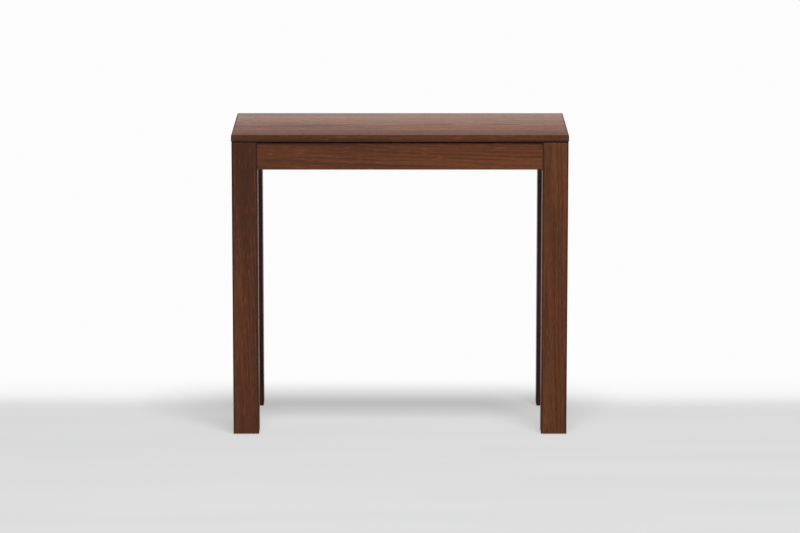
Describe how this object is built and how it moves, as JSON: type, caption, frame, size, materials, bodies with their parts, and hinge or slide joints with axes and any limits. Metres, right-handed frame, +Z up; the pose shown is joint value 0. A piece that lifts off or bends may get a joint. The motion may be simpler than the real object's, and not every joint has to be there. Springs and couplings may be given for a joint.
{
  "type": "extending console table",
  "caption": "Narrow console table on square legs whose top parts lengthwise and draws out on telescopic guides into a long dining table frame.",
  "frame": {"origin": "on the floor under the middle of the closed top", "axes": "+Z up, +X to the right along the long side, -Y the front that pulls out, +Y the rear that stays"},
  "size_m": [0.85, 0.4, 0.77],
  "materials": {
    "veneered_top": "dark stained, satin lacquer",
    "edging": "dark stained, satin lacquer",
    "stained_wood": "dark stained, satin lacquer",
    "plain_wood": "plain planed",
    "guide": "extruded, satin anodised",
    "zinc_steel": "zinc plated",
    "nylon": "natural nylon",
    "glide": "dark moulded plastic"
  },
  "bodies": {
    "front_frame": {"front_apron": "stained_wood", "front_cleat": "plain_wood", "front_corner_plates": "zinc_steel", "front_glides": "glide", "front_leg_bolts": "zinc_steel", "front_leg_left": "stained_wood", "front_leg_nuts": "zinc_steel", "front_leg_right": "stained_wood", "front_lock_screws": "zinc_steel", "front_rail_brackets": "zinc_steel", "front_side_apron_left": "stained_wood", "front_side_apron_right": "stained_wood", "front_side_cleats": "plain_wood", "front_slide_inserts": "nylon", "front_top": "veneered_top", "front_top_edging": "edging", "rail_left_front": "guide", "rail_right_front": "guide", "top_dowels": "plain_wood"},
    "lock_left": {"lock_hook_left": "zinc_steel"},
    "lock_right": {"lock_hook_right": "zinc_steel"},
    "rail_left_1": {"rail_left_1": "guide", "slide_inserts_left_1": "nylon"},
    "rail_left_2": {"rail_left_2": "guide", "slide_inserts_left_2": "nylon"},
    "rail_left_3": {"rail_left_3": "guide", "slide_inserts_left_3": "nylon"},
    "rail_left_4": {"rail_left_4": "guide", "slide_inserts_left_4": "nylon"},
    "rail_left_5": {"rail_left_5": "guide", "slide_inserts_left_5": "nylon"},
    "rear_frame": {"rail_left_fixed": "guide", "rail_right_fixed": "guide", "rear_apron": "stained_wood", "rear_cleat": "plain_wood", "rear_corner_plates": "zinc_steel", "rear_glides": "glide", "rear_leg_bolts": "zinc_steel", "rear_leg_left": "stained_wood", "rear_leg_nuts": "zinc_steel", "rear_leg_right": "stained_wood", "rear_lock_screws": "zinc_steel", "rear_rail_brackets": "zinc_steel", "rear_side_apron_left": "stained_wood", "rear_side_apron_right": "stained_wood", "rear_side_cleats": "plain_wood", "rear_slide_inserts": "nylon", "rear_top": "veneered_top", "rear_top_edging": "edging"},
    "rail_right_1": {"rail_right_1": "guide", "slide_inserts_right_1": "nylon"},
    "rail_right_2": {"rail_right_2": "guide", "slide_inserts_right_2": "nylon"},
    "rail_right_3": {"rail_right_3": "guide", "slide_inserts_right_3": "nylon"},
    "rail_right_4": {"rail_right_4": "guide", "slide_inserts_right_4": "nylon"},
    "rail_right_5": {"rail_right_5": "guide", "slide_inserts_right_5": "nylon"}
  },
  "joints": [
    {"name": "front_extension", "type": "slide", "parent": "rear_frame", "child": "front_frame", "axis": [0, -1, 0], "range_m": [0, 1.56]},
    {"name": "rail_left_1_slide", "type": "slide", "parent": "rear_frame", "child": "rail_left_1", "axis": [0, -1, 0], "range_m": [0, 0.26]},
    {"name": "rail_left_2_slide", "type": "slide", "parent": "rail_left_1", "child": "rail_left_2", "axis": [0, -1, 0], "range_m": [0, 0.26]},
    {"name": "rail_left_3_slide", "type": "slide", "parent": "rail_left_2", "child": "rail_left_3", "axis": [0, -1, 0], "range_m": [0, 0.26]},
    {"name": "rail_left_4_slide", "type": "slide", "parent": "rail_left_3", "child": "rail_left_4", "axis": [0, -1, 0], "range_m": [0, 0.26]},
    {"name": "rail_left_5_slide", "type": "slide", "parent": "rail_left_4", "child": "rail_left_5", "axis": [0, -1, 0], "range_m": [0, 0.26]},
    {"name": "rail_right_1_slide", "type": "slide", "parent": "rear_frame", "child": "rail_right_1", "axis": [0, -1, 0], "range_m": [0, 0.26]},
    {"name": "rail_right_2_slide", "type": "slide", "parent": "rail_right_1", "child": "rail_right_2", "axis": [0, -1, 0], "range_m": [0, 0.26]},
    {"name": "rail_right_3_slide", "type": "slide", "parent": "rail_right_2", "child": "rail_right_3", "axis": [0, -1, 0], "range_m": [0, 0.26]},
    {"name": "rail_right_4_slide", "type": "slide", "parent": "rail_right_3", "child": "rail_right_4", "axis": [0, -1, 0], "range_m": [0, 0.26]},
    {"name": "rail_right_5_slide", "type": "slide", "parent": "rail_right_4", "child": "rail_right_5", "axis": [0, -1, 0], "range_m": [0, 0.26]},
    {"name": "lock_left_swing", "type": "hinge", "parent": "front_frame", "child": "lock_left", "pos_m": [-0.10291, -0.02, 0.75045], "axis": [0, 0, -1], "range_deg": [0, 90]},
    {"name": "lock_right_swing", "type": "hinge", "parent": "front_frame", "child": "lock_right", "pos_m": [0.10291, -0.02, 0.75045], "axis": [0, 0, 1], "range_deg": [0, 90]}
  ],
  "couplings": [
    {"joint": "rail_left_1_slide", "follows": "front_extension", "ratio": 0.16667},
    {"joint": "rail_left_2_slide", "follows": "front_extension", "ratio": 0.16667},
    {"joint": "rail_left_3_slide", "follows": "front_extension", "ratio": 0.16667},
    {"joint": "rail_left_4_slide", "follows": "front_extension", "ratio": 0.16667},
    {"joint": "rail_left_5_slide", "follows": "front_extension", "ratio": 0.16667},
    {"joint": "rail_right_1_slide", "follows": "front_extension", "ratio": 0.16667},
    {"joint": "rail_right_2_slide", "follows": "front_extension", "ratio": 0.16667},
    {"joint": "rail_right_3_slide", "follows": "front_extension", "ratio": 0.16667},
    {"joint": "rail_right_4_slide", "follows": "front_extension", "ratio": 0.16667},
    {"joint": "rail_right_5_slide", "follows": "front_extension", "ratio": 0.16667}
  ]
}
